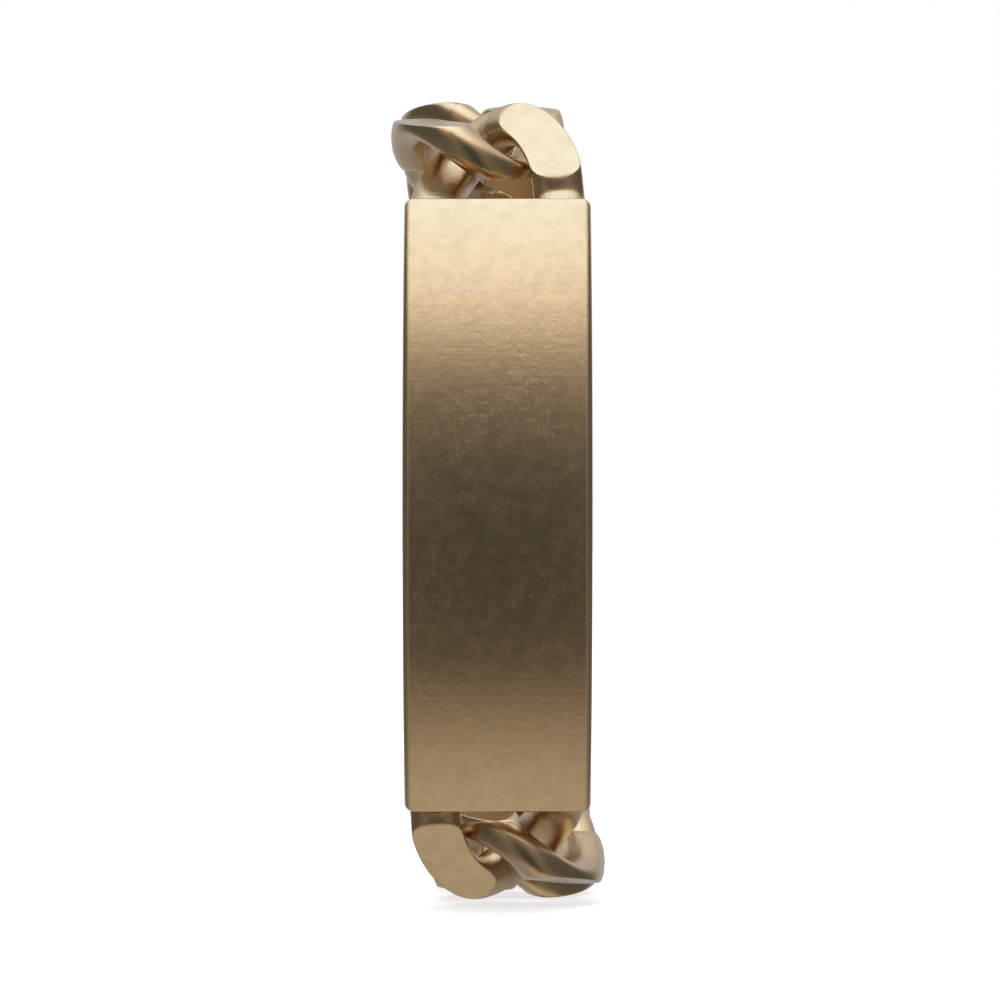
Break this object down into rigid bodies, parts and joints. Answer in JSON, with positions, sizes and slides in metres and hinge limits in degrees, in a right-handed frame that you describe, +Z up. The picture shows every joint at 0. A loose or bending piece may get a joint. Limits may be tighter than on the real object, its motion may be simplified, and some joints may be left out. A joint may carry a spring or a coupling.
{
  "type": "chain bracelet",
  "caption": "Heavy curb chain bracelet with a curved bare name plate at the front and a plain clasp at the back, held open as it sits round a wrist.",
  "frame": {"origin": "centre of the name plate's bend, on the wrist's axis", "axes": "+X along the wrist's axis, across the chain; -Y out of the name plate's front; +Z up, along the name plate"},
  "size_m": [0.0181, 0.0747, 0.0686],
  "materials": {
    "gold_metal": "satin"
  },
  "bodies": {
    "root": {"id_plate": "gold_metal", "link_01": "gold_metal", "link_02": "gold_metal", "link_03": "gold_metal", "link_04": "gold_metal", "link_05": "gold_metal", "link_06": "gold_metal", "link_07": "gold_metal", "link_08": "gold_metal", "link_09": "gold_metal", "link_10": "gold_metal", "clasp": "gold_metal"}
  },
  "joints": []
}
